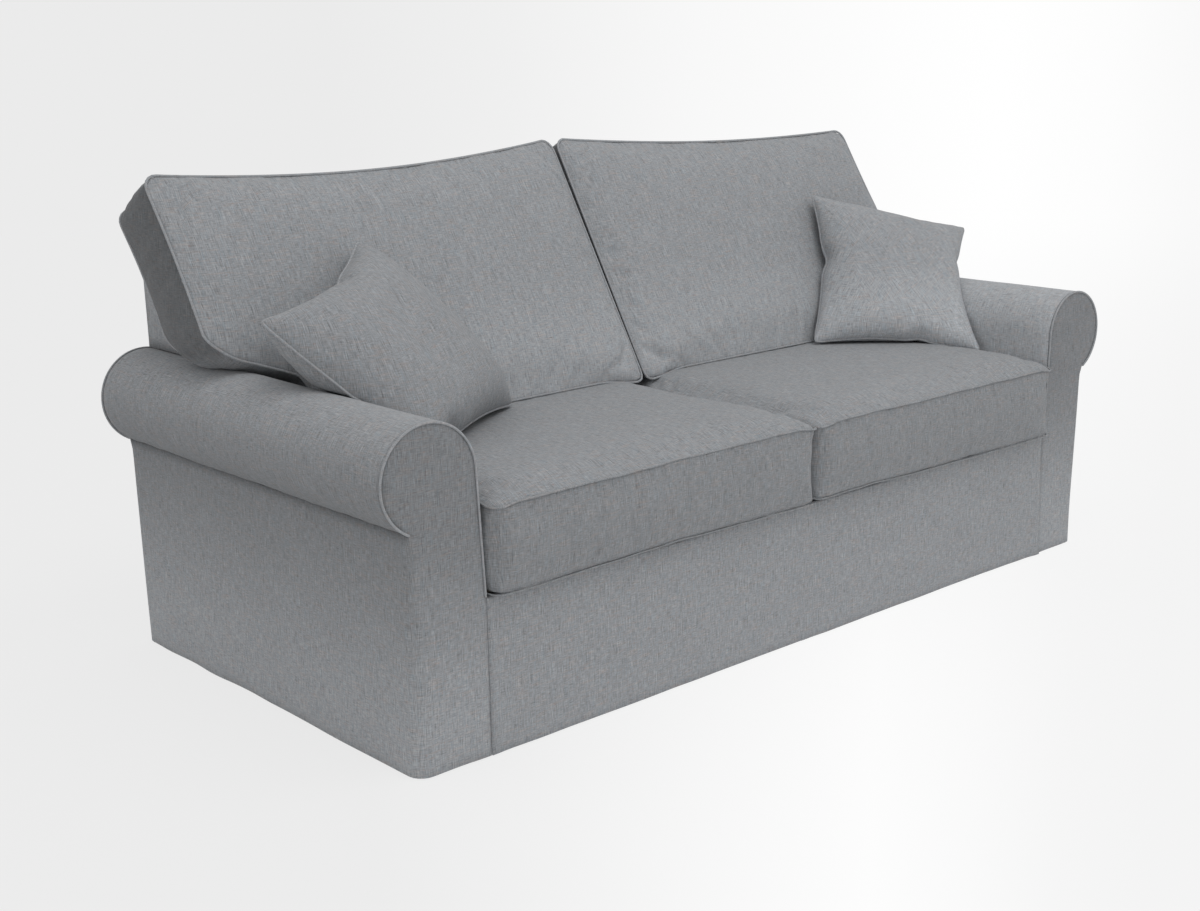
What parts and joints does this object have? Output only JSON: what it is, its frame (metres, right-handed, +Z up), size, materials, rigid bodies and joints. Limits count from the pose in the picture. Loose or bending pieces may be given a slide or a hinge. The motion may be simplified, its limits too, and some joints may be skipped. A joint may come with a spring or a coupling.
{
  "type": "sofa bed",
  "caption": "Rolled-arm sofa bed in a loose grey linen cover, with loose seat, back and scatter cushions over a steel bed that unfolds forward in sections on folding legs.",
  "frame": {"origin": "middle of the sofa's footprint on the floor, with the bed folded away", "axes": "+X to the right as seen from the front, -Y out of the sofa's front, +Z up"},
  "size_m": [2.1219, 1.025, 1.001],
  "materials": {
    "cover_fabric": "mid grey linen weave with bluish and warm threads, slubbed, matt",
    "frame_wood": "planed softwood, unfinished",
    "padding_foam": "upholstery foam and fibre",
    "webbing": "woven elastic webbing",
    "bed_steel": "black powder coat, satin",
    "zinc_steel": "bright zinc plated",
    "deck_cloth": "woven polypropylene deck",
    "mattress_ticking": "off-white quilted ticking, matt",
    "foot_plastic": "black moulded plastic"
  },
  "bodies": {
    "sofa_frame": {"arm_frame_left": "frame_wood", "arm_frame_right": "frame_wood", "arm_padding_left": "padding_foam", "arm_padding_right": "padding_foam", "arm_cover_left": "cover_fabric", "arm_cover_right": "cover_fabric", "front_rail": "frame_wood", "rear_rail": "frame_wood", "front_panel_cover": "cover_fabric", "glides": "foot_plastic", "rail_corner_plates": "bed_steel", "back_post_left": "frame_wood", "back_post_right": "frame_wood", "back_top_rail": "frame_wood", "back_lower_rail": "frame_wood", "back_centre_post": "frame_wood", "back_webbing": "webbing", "back_cover": "cover_fabric", "side_bracket_left": "bed_steel", "side_bracket_right": "bed_steel", "bracket_bolts": "zinc_steel", "bracket_studs": "zinc_steel"},
    "front_links": {"front_link_left": "bed_steel", "front_link_right": "bed_steel"},
    "rear_links": {"rear_link_left": "bed_steel", "rear_link_right": "bed_steel"},
    "head_section": {"head_frame": "bed_steel", "head_studs": "zinc_steel", "front_hinge_pins": "zinc_steel", "head_deck": "deck_cloth", "head_springs": "zinc_steel", "head_pad": "mattress_ticking"},
    "middle_section": {"middle_frame": "bed_steel", "middle_deck": "deck_cloth", "middle_springs": "zinc_steel", "middle_pad": "mattress_ticking", "middle_leg_pins": "zinc_steel"},
    "foot_section": {"rear_hinge_pins": "zinc_steel", "foot_frame": "bed_steel", "foot_deck": "deck_cloth", "foot_springs": "zinc_steel", "foot_pad": "mattress_ticking", "foot_leg_pins": "zinc_steel", "pull_handle": "bed_steel"},
    "middle_leg_pair": {"middle_legs": "bed_steel", "middle_leg_caps": "foot_plastic"},
    "foot_leg_pair": {"foot_legs": "bed_steel", "foot_leg_caps": "foot_plastic"},
    "seat_left": {"seat_cushion_left": "cover_fabric", "seat_core_left": "padding_foam"},
    "seat_right": {"seat_cushion_right": "cover_fabric", "seat_core_right": "padding_foam"},
    "back_left": {"back_cushion_left": "cover_fabric", "back_filling_left": "padding_foam"},
    "back_right": {"back_cushion_right": "cover_fabric", "back_filling_right": "padding_foam"},
    "scatter_left": {"scatter_cushion_left": "cover_fabric", "scatter_pad_left": "padding_foam"},
    "scatter_right": {"scatter_cushion_right": "cover_fabric", "scatter_pad_right": "padding_foam"}
  },
  "joints": [
    {"name": "bed_open", "type": "hinge", "parent": "sofa_frame", "child": "front_links", "pos_m": [0, -0.24211, 0.11636], "axis": [1, 0, 0], "range_deg": [0, 90]},
    {"name": "rear_link_swing", "type": "hinge", "parent": "sofa_frame", "child": "rear_links", "pos_m": [0, 0.09789, 0.11636], "axis": [1, 0, 0], "range_deg": [0, 90]},
    {"name": "head_level", "type": "hinge", "parent": "front_links", "child": "head_section", "pos_m": [0, -0.0355, 0.061], "axis": [1, 0, 0], "range_deg": [-90, 0]},
    {"name": "middle_fold", "type": "hinge", "parent": "head_section", "child": "middle_section", "pos_m": [0, -0.3355, 0.1325], "axis": [1, 0, 0], "range_deg": [0, 180]},
    {"name": "foot_fold", "type": "hinge", "parent": "middle_section", "child": "foot_section", "pos_m": [0, 0.1695, 0.216], "axis": [1, 0, 0], "range_deg": [-180, 0]},
    {"name": "middle_leg_fold", "type": "hinge", "parent": "middle_section", "child": "middle_leg_pair", "pos_m": [0, 0.1395, 0.2058], "axis": [1, 0, 0], "range_deg": [-90, 0]},
    {"name": "foot_leg_fold", "type": "hinge", "parent": "foot_section", "child": "foot_leg_pair", "pos_m": [0, -0.4055, 0.2262], "axis": [1, 0, 0], "range_deg": [-90, 0]},
    {"name": "seat_left_lift", "type": "slide", "parent": "sofa_frame", "child": "seat_left", "axis": [0, 0, 1], "range_m": [0, 2.043]},
    {"name": "seat_right_lift", "type": "slide", "parent": "sofa_frame", "child": "seat_right", "axis": [0, 0, 1], "range_m": [0, 2.043]},
    {"name": "back_left_lift", "type": "slide", "parent": "seat_left", "child": "back_left", "axis": [0, 0, 1], "range_m": [0, 0.4]},
    {"name": "back_right_lift", "type": "slide", "parent": "seat_right", "child": "back_right", "axis": [0, 0, 1], "range_m": [0, 0.4]},
    {"name": "scatter_left_lift", "type": "slide", "parent": "back_left", "child": "scatter_left", "axis": [0, 0, 1], "range_m": [0, 0.3]},
    {"name": "scatter_right_lift", "type": "slide", "parent": "back_right", "child": "scatter_right", "axis": [0, 0, 1], "range_m": [0, 0.3]}
  ],
  "couplings": [
    {"joint": "rear_link_swing", "follows": "bed_open", "ratio": 1},
    {"joint": "head_level", "follows": "bed_open", "ratio": -1},
    {"joint": "middle_fold", "follows": "bed_open", "ratio": 2},
    {"joint": "foot_fold", "follows": "bed_open", "ratio": -2},
    {"joint": "middle_leg_fold", "follows": "bed_open", "ratio": -1},
    {"joint": "foot_leg_fold", "follows": "bed_open", "ratio": -1},
    {"joint": "seat_left_lift", "follows": "bed_open", "m_per_rad": 1.3},
    {"joint": "seat_right_lift", "follows": "bed_open", "m_per_rad": 1.3}
  ]
}
